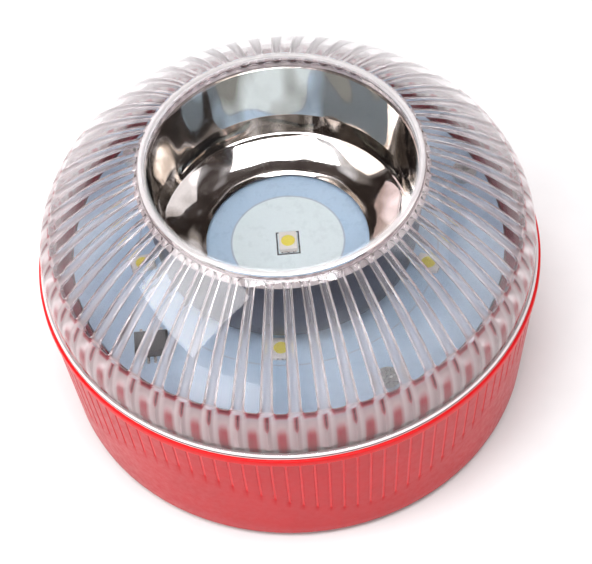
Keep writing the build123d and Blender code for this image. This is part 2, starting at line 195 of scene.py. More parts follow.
shoulder_center = (SIDE_RADIUS - SHOULDER_RADIUS, SHOULDER_Z)
shoulder_end = (
    shoulder_center[0] + SHOULDER_RADIUS * cos(SHOULDER_ANGLE),
    shoulder_center[1] + SHOULDER_RADIUS * sin(SHOULDER_ANGLE),
)
crown_center = (
    shoulder_end[0] - CROWN_RADIUS * cos(SHOULDER_ANGLE),
    shoulder_end[1] - CROWN_RADIUS * sin(SHOULDER_ANGLE),
)
SIDE_LENGTH = SHOULDER_Z - SEAM_Z - FLANGE_HEIGHT
SHOULDER_LENGTH = SHOULDER_RADIUS * SHOULDER_ANGLE
CROWN_START = SIDE_LENGTH + SHOULDER_LENGTH


def crown_length_to(radius, inset=0.0):
    """How far along the outline the crown reaches a radius, measured on the outer surface."""
    angle = acos((radius - crown_center[0]) / (CROWN_RADIUS - inset))
    return CROWN_START + CROWN_RADIUS * (angle - SHOULDER_ANGLE)


def outline(s):
    """Point and outward normal of the lens at length s from the top of its flange."""
    if s < SIDE_LENGTH:
        return (SIDE_RADIUS, SEAM_Z + FLANGE_HEIGHT + s), (1.0, 0.0)
    if s < CROWN_START:
        angle = (s - SIDE_LENGTH) / SHOULDER_RADIUS
        center, radius = shoulder_center, SHOULDER_RADIUS
    else:
        angle = SHOULDER_ANGLE + (s - CROWN_START) / CROWN_RADIUS
        center, radius = crown_center, CROWN_RADIUS
    normal = (cos(angle), sin(angle))
    return (center[0] + radius * normal[0], center[1] + radius * normal[1]), normal


# ---- the ribbed lens
RIB_COUNT = 54
RIB_PHASE = radians(-88.3)  # a channel's middle
RIB_SHARE = 0.41  # of a pitch
RIB_FOOT = 0.12 * MM
RIB_THICKNESS = 2.05 * MM
CHANNEL_THICKNESS = 1.2 * MM
CHANNEL_END = CROWN_START - 0.9 * MM
SKIRT_THIN = 1.45 * MM
SKIRT_THICK = 2.2 * MM
FLOOR_COLUMNS = (-1.0, -0.6, 0.0, 0.6, 1.0)

# how satin the surface is, from 0 (clear) to 1, and where its colour lies on the lens's colour ramp
CHANNEL_HAZE = 0.10
CREST_HAZE = (0.32, 0.34, 0.54, 0.57, 0.54, 0.34, 0.32)  # across one rib
# painted dark-red shade along both edges of each rib
CREST_EDGE_SHADE = (0.85, 0.0, 0.0, 0.0, 0.0, 0.0, 0.85)
CREST_STEPS = len(CREST_HAZE)
CLEARING = 0.6  # the ribs lose this share of their haze towards the window
BEAD_HAZE = 0.48
LIP_HAZE = 0.72
PLUG_HAZE = 0.7
# the flange is clear; this haze makes it pale, a painted highlight
FLANGE_PAINTED_HAZE = 0.9
SKIRT_HAZE = 0.64
PALE_TONE = 0.06
SKIRT_TONE = 0.15
# the red streaks' place on the tone ramp: a painted red reflection of the drum seen through the lens
RED_REFLECTION_TONE = 0.5
# the dark spots' place on the tone ramp: a painted reflection of the dark collar
COLLAR_REFLECTION_TONE = 0.8
# painted shade: the dark lines between flutes and the line in the flange's groove
SHADE_TONE = 1.0


def channel_half_width(s, radius):
    """Half the channel's width, rounded off at its two ends."""
    full = pi * radius / RIB_COUNT * (1 - RIB_SHARE)
    channel_top = crown_length_to(WINDOW_RADIUS + LIP_WALL) - 0.25 * MM
    nearest = min(s - CHANNEL_END, channel_top - s)
    rounding = full * 0.9
    if nearest < rounding:
        t = 1 - max(nearest, 0) / rounding
        full *= 0.3 + 0.7 * sqrt(max(1 - t * t, 0))
    return full


def flute_thickness(place):
    """Thickness of the side wall at a place from -1 to 1 across one pitch: a shallow convex flute."""
    return SKIRT_THIN + (SKIRT_THICK - SKIRT_THIN) * sqrt(max(1 - place * place, 0))


def skirt_look(s, across):
    """Haze and tone of the side wall; across goes from 0 in the middle of a flute to 1 between flutes.

    Low in each flute is a painted red reflection of the drum, between flutes a painted dark shade line, at
    each channel's foot a painted dark reflection of the collar, and across each flute's sides a painted
    highlight.
    """
    height = s / CHANNEL_END
    reflection_width = 0.25 * sqrt(max(1 - (height / 0.86) ** 2, 0))
    # streak: a painted red reflection of the drum, low in each flute
    streak = falling(across, reflection_width, 0.36) * falling(height, 0.35, 0.5)
    # painted shade between the flutes
    slit_shade = rising(across, 0.8, 0.15) * rising(height, 0.42, 0.25) * falling(height, 0.9, 0.06)
    # a painted dark reflection of the collar at each channel's foot
    collar_reflection = falling(across, 0.38, 0.3) * rising(height, 0.87, 0.04)
    # a painted highlight on each flute's sides
    painted_highlight = 0.6 * rising(across, 0.35, 0.2) * falling(across, 0.62, 0.2)
    haze = SKIRT_HAZE + (1 - SKIRT_HAZE) * max(streak, slit_shade, collar_reflection, painted_highlight)
    tone = max(SKIRT_TONE, RED_REFLECTION_TONE * streak, SHADE_TONE * slit_shade, COLLAR_REFLECTION_TONE * collar_reflection)
    return haze, tone * (1 - painted_highlight)


def pitch_columns(s, radius):
    """One pitch of the inner surface: a list of (angle from the channel's middle, thickness, look)."""
    half_pitch = pi / RIB_COUNT
    crest = half_pitch * radius
    half = channel_half_width(s, radius)
    beyond = s - CHANNEL_END
    climb = beyond / (crown_length_to(WINDOW_RADIUS + LIP_WALL) - CHANNEL_END)
    in_channel = rising(beyond, -0.15 * MM, 0.3 * MM)
    spread = falling(beyond, -0.6 * MM, 0.5 * MM)
    fade = falling(beyond, 0.1 * MM, 0.25 * MM)
    columns = [(place * (half - RIB_FOOT), CHANNEL_THICKNESS) for place in FLOOR_COLUMNS]
    for step in range(CREST_STEPS):
        turn = pi * (step + 0.5) / CREST_STEPS
        rise = sin(turn) ** 0.6
        place = crest - (crest - half) * cos(turn)
        columns.append((place, CHANNEL_THICKNESS + (RIB_THICKNESS - CHANNEL_THICKNESS) * rise))
    result = []
    for index, (place, thickness) in enumerate(columns):
        even_angle = half_pitch * (-0.8 + 2 * index / len(columns))
        angle = place / radius * (1 - spread) + even_angle * spread
        across = ((angle + half_pitch) % (2 * half_pitch) - half_pitch) / half_pitch
        solid = RIB_THICKNESS * (1 - spread) + flute_thickness(across) * spread
        on_rib = index - len(FLOOR_COLUMNS)
        rib_haze = CREST_HAZE[on_rib] if on_rib >= 0 else CHANNEL_HAZE
        rib_haze *= 1 - CLEARING * rising(climb, 0.35, 0.55)
        rib_tone = CREST_EDGE_SHADE[on_rib] if on_rib >= 0 else 0.0
        skirt_haze, skirt_tone = skirt_look(s, abs(across))
        haze = rib_haze * (1 - fade) + skirt_haze * fade
        tone = rib_tone * (1 - fade) + skirt_tone * fade
        result.append((angle, solid + (thickness - solid) * in_channel, (haze, tone)))
    return result


CLEAR_LOOK = (0.0, 0.0)
BEAD_LOOK = (BEAD_HAZE, PALE_TONE)
LIP_LOOK = (LIP_HAZE, PALE_TONE)
PLUG_LOOK = (PLUG_HAZE, PALE_TONE)
# the flange's pale bands are a painted highlight, the dark line in its groove a painted shade
FLANGE_HIGHLIGHT_LOOK = (FLANGE_PAINTED_HAZE, PALE_TONE)
FLANGE_GROOVE_SHADE_LOOK = (FLANGE_PAINTED_HAZE, SHADE_TONE)

# the flange from its top inwards and down: (radius, height above the seam, look); its pale bands are a
# painted highlight and the dark line in its small groove a painted shade
FLANGE_PROFILE = (
    (SIDE_RADIUS + 0.12 * MM, FLANGE_HEIGHT - 0.02 * MM, FLANGE_HIGHLIGHT_LOOK),
    (FLANGE_RADIUS - 0.1 * MM, FLANGE_HEIGHT - 0.04 * MM, FLANGE_HIGHLIGHT_LOOK),
    (FLANGE_RADIUS, FLANGE_HEIGHT - 0.14 * MM, FLANGE_HIGHLIGHT_LOOK),
    (FLANGE_RADIUS, 0.60 * MM, FLANGE_HIGHLIGHT_LOOK),
    (FLANGE_RADIUS - 0.06 * MM, 0.57 * MM, FLANGE_GROOVE_SHADE_LOOK),
    (FLANGE_RADIUS - 0.06 * MM, 0.25 * MM, FLANGE_GROOVE_SHADE_LOOK),
    (FLANGE_RADIUS, 0.22 * MM, FLANGE_HIGHLIGHT_LOOK),
    (FLANGE_RADIUS, 0.12 * MM, FLANGE_HIGHLIGHT_LOOK),
    (FLANGE_RADIUS - 0.12 * MM, 0.01 * MM, PLUG_LOOK),
    (PLUG_RADII[1], 0.01 * MM, PLUG_LOOK),
    (PLUG_RADII[1], -PLUG_DEPTH, PLUG_LOOK),
)
OUTER_STEPS = 46
SKIRT_STEPS = 12
CROWN_STEPS = 30
AT_CHANNEL_END = (-0.8, -0.6, -0.45, -0.3, -0.2, -0.08, 0.08, 0.2, 0.4, 0.7, 1.05, 1.4)  # mm past it
BEFORE_LIP = (1.6, 1.3, 1.0, 0.75, 0.55, 0.4, 0.28)  # mm


def inner_lengths():
    """Lengths along the outline where the inner surface has a ring, closer together where it turns."""
    skirt_length = CHANNEL_END - 0.9 * MM
    crown_from = CHANNEL_END + 1.8 * MM
    inner_end = crown_length_to(WINDOW_RADIUS + LIP_WALL) + 0.1 * MM
    crown_to = inner_end - BEFORE_LIP[0] * MM
    lengths = [skirt_length * k / SKIRT_STEPS for k in range(SKIRT_STEPS)]
    lengths += [CHANNEL_END + offset * MM for offset in AT_CHANNEL_END]
    lengths += [crown_from + (crown_to - crown_from) * k / CROWN_STEPS for k in range(CROWN_STEPS)]
    lengths += [inner_end - offset * MM for offset in BEFORE_LIP]
    return lengths


def make_lens():
    """The clear cover as one closed solid: smooth outside, ribbed inside, with its flange and plug."""
    foot_columns = pitch_columns(0, SIDE_RADIUS)
    count = RIB_COUNT * len(foot_columns)
    even_angles = [RIB_PHASE + 2 * pi * k / count for k in range(count)]
    vertices = []
    looks = []
    rings = []

    def add_ring(points, point_looks):
        start = len(vertices)
        vertices.extend(points)
        looks.extend(point_looks)
        rings.append(list(range(start, start + count)))

    def plain_ring(radius, z, look=CLEAR_LOOK):
        add_ring([polar(radius, angle, z) for angle in even_angles], [look] * count)

    def ribbed_ring(columns, place):
        """A ring with the columns of one pitch repeated; place gives radius and z for a thickness."""
        points = []
        for pitch in range(RIB_COUNT):
            base = RIB_PHASE + 2 * pi * pitch / RIB_COUNT
            for angle, thickness, _ in columns:
                radius, z = place(thickness)
                points.append(polar(radius, base + angle, z))
        add_ring(points, [look for _, _, look in columns] * RIB_COUNT)

    bead_end = crown_length_to(WINDOW_RADIUS + BEAD_WIDTH)
    window_high = outline(bead_end)[0][1]
    window_low = window_high - WINDOW_THICKNESS
    vertices.append((0, 0, window_high))
    looks.append(CLEAR_LOOK)
    for part in (0.25, 0.5, 0.75, 0.97):
        plain_ring(WINDOW_RADIUS * part, window_high)
    bead_center = (WINDOW_RADIUS + BEAD_WIDTH / 2, window_high - 0.2 * MM)
    for radius, z in arc(bead_center, BEAD_WIDTH * 0.55, 155, 30, 6):
        plain_ring(radius, min(z, TOP_Z), BEAD_LOOK)
    for k in range(OUTER_STEPS + 1):
        plain_ring(*outline(bead_end * (1 - k / OUTER_STEPS))[0])
    for radius, rise, look in FLANGE_PROFILE:
        plain_ring(radius, SEAM_Z + rise, look)
    ribbed_ring(foot_columns, lambda thickness: (PLUG_RADII[0], SEAM_Z - PLUG_DEPTH))
    ribbed_ring(foot_columns, lambda thickness: (PLUG_RADII[0], SEAM_Z + 0.3 * MM))
    for s in inner_lengths():
        (radius, z), normal = outline(s)
        ribbed_ring(pitch_columns(s, radius), lambda thickness, radius=radius, z=z, normal=normal: (
            radius - normal[0] * thickness, z - normal[1] * thickness))
    looks[-count:] = [LIP_LOOK] * count
    plain_ring(WINDOW_RADIUS + LIP_WALL, LIP_LOW, LIP_LOOK)
    plain_ring(WINDOW_RADIUS + 0.1 * MM, LIP_LOW, LIP_LOOK)
    plain_ring(WINDOW_RADIUS, LIP_LOW + 0.1 * MM)
    plain_ring(WINDOW_RADIUS, window_low - 0.2 * MM)
    plain_ring(WINDOW_RADIUS - 0.2 * MM, window_low)
    for part in (0.75, 0.5, 0.25):
        plain_ring(WINDOW_RADIUS * part, window_low)
    vertices.append((0, 0, window_low))
    looks.append(CLEAR_LOOK)

    faces = ring_grid(rings)
    first, last = rings[0], rings[-1]
    for i in range(count):
        j = (i + 1) % count
        faces.append((0, first[i], first[j]))
        faces.append((len(vertices) - 1, last[j], last[i]))
    piece = finish_mesh("dome_lens", vertices, faces, 40)
    for part, name in enumerate(("haze", "tone")):
        layer = piece.data.attributes.new(name, "FLOAT", "POINT")
        layer.data.foreach_set("value", [look[part] for look in looks])
    return piece


# ---- the red drum
GROOVE_COUNT = 114
GROOVE_WIDTH = 0.5 * MM
GROOVE_DEPTH = 0.16 * MM
RIM_BAND = 1.2 * MM
FOOT_RADIUS = 36.5 * MM
DRUM_LOW = drum_low.z
BUTTON_Z = (button_low.z + button_high.z) / 2
BUTTON_HOLE = 4.65 * MM
COLLAR_INNER = BOARD_RADIUS + 0.2 * MM
COLLAR_OUTER = 34.8 * MM
SNAP_LIP = 35.7 * MM
COLLAR_RISE = 0.2 * MM
GROOVE_COLUMNS = (-1.0, -0.55, 0.0, 0.55, 1.0)
GROOVE_SHAPE = (0.0, 0.85, 1.0, 0.85, 0.0)


def drum_radius(z):
    """Outer radius of the tapered wall."""
    return FOOT_RADIUS + (RIM_RADIUS - 0.1 * MM - FOOT_RADIUS) * (z - DRUM_LOW) / (SEAM_Z - DRUM_LOW)


def groove_foot(angle):
    """Height where the grooves end, a wave with four crests round the drum."""
    return SEAM_Z - 12.7 * MM - 5.0 * MM * cos(4 * (angle + radians(75)))


def groove_columns():
    """Angles round the drum, and at each how far into a groove it lies: 0 on the wall, 1 at the bottom."""
    columns = []
    for number in range(GROOVE_COUNT):
        middle = 2 * pi * number / GROOVE_COUNT
        for place, shape in zip(GROOVE_COLUMNS, GROOVE_SHAPE):
            columns.append((middle + place * GROOVE_WIDTH / 2 / RIM_RADIUS, shape))
        for part in (0.36, 0.5, 0.64):
            columns.append((middle + 2 * pi / GROOVE_COUNT * part, 0.0))
    return columns


# the drum's foot from the battery bay outwards: a lip, the rubber ring's recess and an outer lip, in mm
FOOT_PROFILE = (
    (32.4, 1.0), (32.4, 0.1), (32.5, 0.0), (32.95, 0.0),
    (33.0, 0.4), (35.3, 0.4), (35.35, 0.0),
)
# from the seam down inside: the lens plug's groove, the collar with its snap lip, then the inner wall
INNER_PROFILE = (
    (36.75 * MM, SEAM_Z),
    (36.6 * MM, SEAM_Z - 0.15 * MM),
    (36.35 * MM, SEAM_Z - 3.0 * MM),
    (COLLAR_OUTER, SEAM_Z - 3.0 * MM),
    (COLLAR_OUTER, BOARD_TOP - 0.6 * MM),
    (SNAP_LIP, BOARD_TOP - 0.3 * MM),
    (SNAP_LIP, BOARD_TOP - 0.05 * MM),
    (SNAP_LIP - 0.25 * MM, BOARD_TOP + COLLAR_RISE),
    (COLLAR_INNER + 0.15 * MM, BOARD_TOP + COLLAR_RISE),
    (COLLAR_INNER, BOARD_TOP + 0.05 * MM),
    (COLLAR_INNER, SEAM_Z - 5.6 * MM),
    (36.0 * MM, SEAM_Z - 5.6 * MM),
    (34.6 * MM, DRUM_LOW + 2.0 * MM),
    (31.9 * MM, DRUM_LOW + 2.0 * MM),
    (31.9 * MM, DRUM_LOW + 1.0 * MM),
)
FOOT_EDGE = 0.9 * MM
LOWER_STEPS = 6
GROOVE_STEPS = 12
# how a groove starts: (share of its depth, mm above its foot)
GROOVE_START = ((0.0, -0.15), (0.55, 0.0), (0.9, 0.15), (1.0, 0.4))


def make_drum():
    """The moulded housing: grooved outside, rim band, foot recess and inner wall."""
    columns = groove_columns()
    smooth = [0.0] * len(columns)
    vertices = []
    rings = []
    grooved = []

    def add_ring(points, shades):
        start = len(vertices)
        vertices.extend(points)
        grooved.extend(shades)
        rings.append(list(range(start, start + len(columns))))

    def plain_rings(profile):
        for radius, z in profile:
            add_ring([polar(radius, angle, z) for angle, _ in columns], smooth)

    def wall_ring(height, depth=0.0):
        """A ring on the tapered wall; height gives z for an angle, depth is a share of the groove's."""
        points = []
        for angle, shape in columns:
            z = height(angle)
            points.append(polar(drum_radius(z) - shape * depth * GROOVE_DEPTH, angle, z))
        add_ring(points, [shape * depth for _, shape in columns])

    groove_top = SEAM_Z - RIM_BAND
    groove_end = drum_radius(groove_top)
    low_z = DRUM_LOW + 1.4 * MM
    plain_rings((radius * MM, DRUM_LOW + rise * MM) for radius, rise in FOOT_PROFILE)
    plain_rings(arc((FOOT_RADIUS - FOOT_EDGE, DRUM_LOW + FOOT_EDGE), FOOT_EDGE, -90, 5, 7))
    for k in range(LOWER_STEPS):
        wall_ring(lambda angle, part=k / LOWER_STEPS: low_z + (groove_foot(angle) - 0.3 * MM - low_z) * part)
    for depth, offset in GROOVE_START:
        wall_ring(lambda angle, offset=offset: groove_foot(angle) + offset * MM, depth)
    for k in range(1, GROOVE_STEPS + 1):
        def groove_height(angle, part=k / GROOVE_STEPS):
            start = groove_foot(angle) + 0.4 * MM
            return start + (groove_top - 0.12 * MM - start) * part
        wall_ring(groove_height, 1.0)
    half_depth = GROOVE_DEPTH / 2
    end_z = groove_top - 0.03 * MM
    add_ring([polar(groove_end - shape * half_depth, angle, end_z) for angle, shape in columns], smooth)
    plain_rings([(groove_end + 0.02 * MM, groove_top)])
    plain_rings(arc((RIM_RADIUS - 0.12 * MM, groove_top + 0.14 * MM), 0.12 * MM, -80, 0, 3))
    plain_rings(arc((RIM_RADIUS - 0.2 * MM, SEAM_Z - 0.2 * MM), 0.2 * MM, 0, 90, 4))
    plain_rings(INNER_PROFILE)
    piece = finish_mesh("drum_shell", vertices, ring_grid(rings, closed=True), 38)
    layer = piece.data.attributes.new("groove", "FLOAT", "POINT")
    layer.data.foreach_set("value", grooved)
    return piece


def cut_button_hole(drum):
    """The round hole for the button, with a small chamfer at its outer edge."""
    outside = drum_radius(BUTTON_Z)
    profile = (
        (0, -8 * MM),
        (BUTTON_HOLE, -8 * MM),
        (BUTTON_HOLE, -0.35 * MM),
        (BUTTON_HOLE + 0.3 * MM, 0.0),
        (BUTTON_HOLE + 1.5 * MM, 1.2 * MM),
        (0, 1.2 * MM),
    )
    tool = lathe("hole_tool", profile, steps=96, closed=False)
    tool.data.transform(Matrix.Translation((0, outside, BUTTON_Z)) @ Matrix.Rotation(-pi / 2, 4, "X"))
    cut = drum.modifiers.new("button_hole", "BOOLEAN")
    cut.object = tool
    cut.operation = "DIFFERENCE"
    cut.solver = "EXACT"
    bpy.context.view_layer.objects.active = drum
    bpy.ops.object.modifier_apply(modifier=cut.name)
    bpy.data.objects.remove(tool)


# ---- reflector
CUP_HOLE = 12.5 * MM
CUP_EDGE = 18.9 * MM
CUP_MOUTH = 20.2 * MM
CUP_FOOT_Z = BOARD_TOP + 0.1 * MM
CUP_FLOOR_Z = CUP_FOOT_Z + 0.6 * MM
CUP_EDGE_Z = BOARD_TOP + 3.0 * MM
CUP_SKIN = 0.6 * MM
CUP_BULGE = 0.25 * MM
BOWL_STEPS = 14
CUP_WALL_STEPS = 20
CUP_COLUMNS = 256


def cup_inside():
    """The mirror face from the hole outwards and up: the bowl, a small step, then the wall."""
    points = [(CUP_HOLE, CUP_FLOOR_Z)]
    for k in range(1, BOWL_STEPS + 1):
        t = k / BOWL_STEPS
        radius = CUP_HOLE + (CUP_EDGE - CUP_HOLE) * t
        points.append((radius, CUP_FLOOR_Z + (CUP_EDGE_Z - CUP_FLOOR_Z) * t**1.75))
    points.append((CUP_EDGE + 0.06 * MM, CUP_EDGE_Z + 0.05 * MM))
    points.append((CUP_EDGE + 0.26 * MM, CUP_EDGE_Z + 0.12 * MM))
    wall_foot = CUP_EDGE + 0.3 * MM
    for k in range(1, CUP_WALL_STEPS + 1):
        t = k / CUP_WALL_STEPS
        radius = wall_foot + (CUP_MOUTH - wall_foot) * t + CUP_BULGE * sin(pi * t)
        points.append((radius, CUP_EDGE_Z + 0.2 * MM + (CUP_TOP - CUP_EDGE_Z - 0.3 * MM) * t))
    return points


def make_cup():
    """The plated cup: shallow bowl, step, and a wall that opens slightly upwards."""
    inside = cup_inside()
    rim = [(CUP_MOUTH + CUP_SKIN / 2, CUP_TOP)]
    outside = [(radius + CUP_SKIN, z) for radius, z in reversed(inside[BOWL_STEPS + 1:])]
    outside += [(radius + 0.25 * MM, z - CUP_SKIN) for radius, z in reversed(inside[:BOWL_STEPS + 1])]
    piece = lathe("mirror_cup", inside + rim + outside, steps=CUP_COLUMNS, sharp_angle=50)
    paint(piece, chrome_material())
    piece.data.materials.append(cup_back_material())
    for index in range(CUP_COLUMNS * (len(inside) + 1), CUP_COLUMNS * (len(inside) + len(outside) + 1)):
        piece.data.polygons[index].material_index = 1
    return piece


# ---- lamps
def islands(name):
    """The separate bodies of a CAD node: for each, its vertices, always in the same order."""
    work = bmesh.new()
    work.from_mesh(frame["nodes"][name].data)
    bmesh.ops.remove_doubles(work, verts=work.verts, dist=1e-6)
    waiting = set(work.verts)
    groups = []
    while waiting:
        group = {waiting.pop()}
        edge_of = list(group)
        while edge_of:
            for edge in edge_of.pop().link_edges:
                for vertex in edge.verts:
                    if vertex not in group:
                        group.add(vertex)
                        edge_of.append(vertex)
        waiting -= group
        groups.append(sorted((vertex.co.copy() for vertex in group), key=tuple))
    work.free()
    return sorted(groups, key=lambda group: tuple(round(value, 6) for value in group_middle(group).xy))


def group_middle(points):
    """Middle of the points' box."""
    return Vector([(min(p[i] for p in points) + max(p[i] for p in points)) / 2 for i in range(3)])


def lamp_places(name):
    """For each lamp: middle of its underside, turn of its long side, half length, half width and height."""
    places = []
    for points in islands(name):
        middle = group_middle(points)
        low = min(p.z for p in points)
        high = max(p.z for p in points)
        flat = sorted((Vector((p.x - middle.x, p.y - middle.y)) for p in points), key=lambda p: -p.length)
        corner = flat[0]
        others = [p for p in flat if abs(p.length - corner.length) < 0.05 * MM]
        other = next(p for p in others if 0.5 < abs(p.angle(corner)) < 2.7)
        along = (corner - other) / 2
        across = (corner + other) / 2
        if along.length < across.length:
            along, across = across, along
        foot = Vector((middle.x, middle.y, low))
        places.append((foot, atan2(along.y, along.x), along.length, across.length, high - low))
    return places


LAMP_STEPS = 64
LAMP_ANGLES = [2 * pi * (k + 0.5) / LAMP_STEPS for k in range(LAMP_STEPS)]
LAMP_CORNER = 0.18 * MM


def rounded_rectangle(half_length, half_width):
    """Points round a rectangle with rounded corners, starting at the +x side."""
    points = []
    inner = Vector((half_length - LAMP_CORNER, half_width - LAMP_CORNER))
    for angle in LAMP_ANGLES:
        reach = Vector((cos(angle), sin(angle)))
        scale = min(half_length / max(abs(reach.x), 1e-9), half_width / max(abs(reach.y), 1e-9))
        point = reach * scale
        over = Vector((abs(point.x) - inner.x, abs(point.y) - inner.y))
        if over.x > 0 and over.y > 0:
            rounded = inner + over.normalized() * LAMP_CORNER
            point = Vector((copysign(rounded.x, point.x), copysign(rounded.y, point.y)))
        points.append(point)
    return points


# the package's foot: (mm in from the outline, mm above the underside); its top: (mm in, mm below the top)
LAMP_FOOT = ((0.5, 0.0), (0.04, 0.0), (0.0, 0.06))
LAMP_TOP = ((0.02, 0.12), (0.06, 0.03), (0.12, 0.0))
# its round well: (radius in mm, mm below the top)
LAMP_WELL = ((1.14, 0.0), (1.10, 0.03), (0.98, 0.24))
# a terminal from the foot up: (mm above the foot, mm drawn in)
TERMINAL = ((0.0, 0.0), (0.22, 0.0), (0.3, 0.08))


def make_lamps(name, places):
    """Lamp packages: a moulded body with a round well, and a plated terminal at each end."""
    vertices = []
    faces = []
    metal = set()
    for middle, turn, half_length, half_width, height in places:
        def put(x, y, z):
            across = middle.x + x * cos(turn) - y * sin(turn)
            vertices.append((across, middle.y + x * sin(turn) + y * cos(turn), middle.z + z))

        def ring(points, z):
            start = len(vertices)
            for point in points:
                put(point[0], point[1], z)
            return list(range(start, start + len(points)))

        def circle(radius):
            return [(radius * cos(angle), radius * sin(angle)) for angle in LAMP_ANGLES]

        def outline(inset):
            return rounded_rectangle(half_length - inset * MM, half_width - inset * MM)

        rings = [ring(outline(inset), rise * MM) for inset, rise in LAMP_FOOT]
        rings += [ring(outline(inset), height - drop * MM) for inset, drop in LAMP_TOP]
        rings += [ring(circle(radius * MM), height - drop * MM) for radius, drop in LAMP_WELL]
        faces += ring_grid(rings)
        faces.append(tuple(rings[0][::-1]))
        faces.append(tuple(rings[-1]))
        side = half_width - 0.25 * MM
        for end in (-1, 1):
            first = len(faces)
            near = end * (half_length - 0.45 * MM)
            far = end * (half_length + 0.12 * MM)
            start = len(vertices)
            for rise, inset in TERMINAL:
                half = side - inset * MM
                tip = far - end * inset * MM
                for x, y in ((near, -half), (tip, -half), (tip, half), (near, half)):
                    put(x, y, rise * MM)
            for level in (start, start + 4):
                for k in range(4):
                    after = (k + 1) % 4
                    faces.append((level + k, level + after, level + 4 + after, level + 4 + k))
            faces.append(tuple(start + k for k in (3, 2, 1, 0)))
            faces.append(tuple(start + 8 + k for k in range(4)))
            metal.update(range(first, len(faces)))
    piece = finish_mesh(name, vertices, faces, 30)
    for index in metal:
        piece.data.polygons[index].use_smooth = False
    return piece, metal


# a filling from its skirt to its middle: (radius in mm, mm above or below its rim)
FILLING = ((1.0, -0.17), (1.06, -0.06), (0.8, -0.02), (0.5, 0.0), (0.2, 0.01))
FILLING_DROP = 0.05 * MM


def make_phosphors(name, places):
    """The yellow filling of each well, slightly domed and set below its rim."""
    vertices = []
    faces = []
    for middle, turn, half_length, half_width, height in places:
        top = middle.z + height - FILLING_DROP
        rings = []
        for radius, z in FILLING:
            start = len(vertices)
            for k in range(LAMP_STEPS):
                x, y, _ = polar(radius * MM, 2 * pi * k / LAMP_STEPS, 0)
                vertices.append((middle.x + x, middle.y + y, top + z * MM))
            rings.append(list(range(start, start + LAMP_STEPS)))
        faces += ring_grid(rings)
        faces.append(tuple(rings[-1]))
        faces.append(tuple(rings[0][::-1]))
    return finish_mesh(name, vertices, faces, 60)


# ---- button
PAD_RADIUS = 4.4 * MM
PAD_DISH = 0.45 * MM
STEM_RADIUS = 1.5 * MM
BUTTON_FLANGE_TOP = 34.6 * MM
BUTTON_FLANGE_BOTTOM = 33.65 * MM


def make_button():
    """The moulded button: a dished thumb pad with a raised ring, a guide flange and a stem."""
    face = button_high.y
    flange = (button_high.x - button_low.x) / 2
    profile = [(0, face - PAD_DISH)]
    for part in (0.15, 0.3, 0.45, 0.58):
        profile.append((PAD_RADIUS * part, face - PAD_DISH + 0.25 * MM * part**2))
    profile += [
        (0.62 * PAD_RADIUS, face - 0.12 * MM),
        (0.66 * PAD_RADIUS, face - 0.03 * MM),
        (0.70 * PAD_RADIUS, face),
        (0.80 * PAD_RADIUS, face),
    ]
    profile += arc((PAD_RADIUS - 0.6 * MM, face - 0.6 * MM), 0.6 * MM, 90, 0, 6)
    profile += [
        (PAD_RADIUS, BUTTON_FLANGE_TOP + 0.02 * MM),
        (flange, BUTTON_FLANGE_TOP),
        (flange, BUTTON_FLANGE_BOTTOM),
        (STEM_RADIUS, BUTTON_FLANGE_BOTTOM - 0.05 * MM),
        (STEM_RADIUS, button_low.y + 0.1 * MM),
        (STEM_RADIUS - 0.1 * MM, button_low.y),
        (0, button_low.y),
    ]
    piece = lathe("thumb_button", profile, steps=128, closed=False, sharp_angle=50)
    piece.data.transform(Matrix.Translation((0, 0, BUTTON_Z)) @ Matrix.Rotation(-pi / 2, 4, "X"))
    return piece


# ---- carried-over pieces with worked edges
def refined(name, width, sharp=30, steps=2):
    """A copy of a CAD node whose sharp edges are rounded off by a small bevel."""
    source = frame["nodes"][name]
    work = bmesh.new()
    work.from_mesh(source.data)
    bmesh.ops.remove_doubles(work, verts=work.verts, dist=1e-6)
    bmesh.ops.dissolve_limit(work, angle_limit=radians(0.6), verts=work.verts, edges=work.edges)

    def is_sharp(edge):
        return len(edge.link_faces) == 2 and edge.calc_face_angle(0) > radians(sharp)

    hard = [edge for edge in work.edges if is_sharp(edge)]
    shape = {"offset": width, "segments": steps, "profile": 0.5, "affect": "EDGES", "clamp_overlap": True}
    bmesh.ops.bevel(work, geom=hard, **shape)
    bmesh.ops.triangulate(work, faces=[face for face in work.faces if len(face.verts) > 4])
    work.verts.index_update()
    count = len(work.verts)

    def place_in_list(face):
        """A number of the face's own, so that the faces come in the same order each run."""
        low, middle, high = sorted(vertex.index for vertex in face.verts)[:3]
        return (low * count + middle) * count + high

    work.faces.sort(key=place_in_list)
    for face in work.faces:
        face.smooth = True
    for edge in work.edges:
        if is_sharp(edge):
            edge.smooth = False
    data = bpy.data.meshes.new(name + "_worked")
    work.to_mesh(data)
    work.free()
    piece = bpy.data.objects.new(name + "_worked", data)
    bpy.context.scene.collection.objects.link(piece)
    return piece


